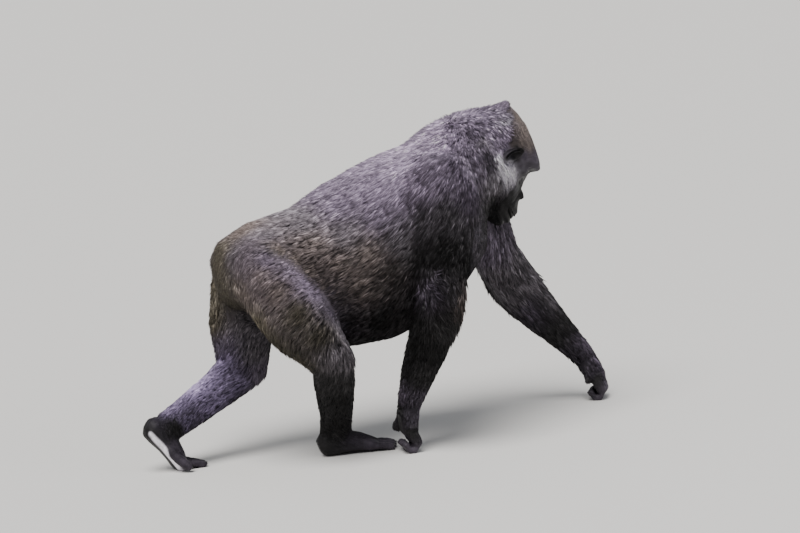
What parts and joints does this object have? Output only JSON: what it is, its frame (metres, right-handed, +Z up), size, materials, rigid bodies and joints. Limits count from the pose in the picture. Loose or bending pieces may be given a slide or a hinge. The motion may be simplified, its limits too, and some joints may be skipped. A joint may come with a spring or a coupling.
{
  "type": "gorilla",
  "caption": "Still, life-size adult gorilla walking on its knuckles, with one hind foot pushing off and the far arm reaching forward.",
  "frame": {"origin": "middle of the model's plan, on the floor", "axes": "+X is the way the animal walks, +Y its left side, +Z up; it stands on the plane Z = 0"},
  "size_m": [1.4226, 0.5926, 0.9156],
  "materials": {
    "coat": "soft hair, brownish black, dull sheen",
    "grey_coat": "soft hair with silver-grey tips",
    "skin": "bare creased skin, slightly glossy",
    "eye": "wet dark brown"
  },
  "bodies": {
    "root": {"rump": "coat", "belly": "coat", "chest": "grey_coat", "neck": "grey_coat", "eye_left": "eye", "ear_left": "skin", "eye_right": "eye", "ear_right": "skin", "head": "coat", "upper_arm_left": "coat", "forearm_left": "coat", "hand_left": "skin", "finger_index_left": "skin", "finger_middle_left": "skin", "finger_ring_left": "skin", "finger_little_left": "skin", "thumb_left": "skin", "thigh_left": "coat", "shin_left": "coat", "foot_left": "skin", "toe_2_left": "skin", "toe_3_left": "skin", "toe_4_left": "skin", "toe_5_left": "skin", "toe_big_left": "skin", "upper_arm_right": "coat", "forearm_right": "coat", "hand_right": "skin", "finger_index_right": "skin", "finger_middle_right": "skin", "finger_ring_right": "skin", "finger_little_right": "skin", "thumb_right": "skin", "thigh_right": "coat", "shin_right": "coat", "foot_right": "skin", "toe_2_right": "skin", "toe_3_right": "skin", "toe_4_right": "skin", "toe_5_right": "skin", "toe_big_right": "skin"}
  },
  "joints": []
}
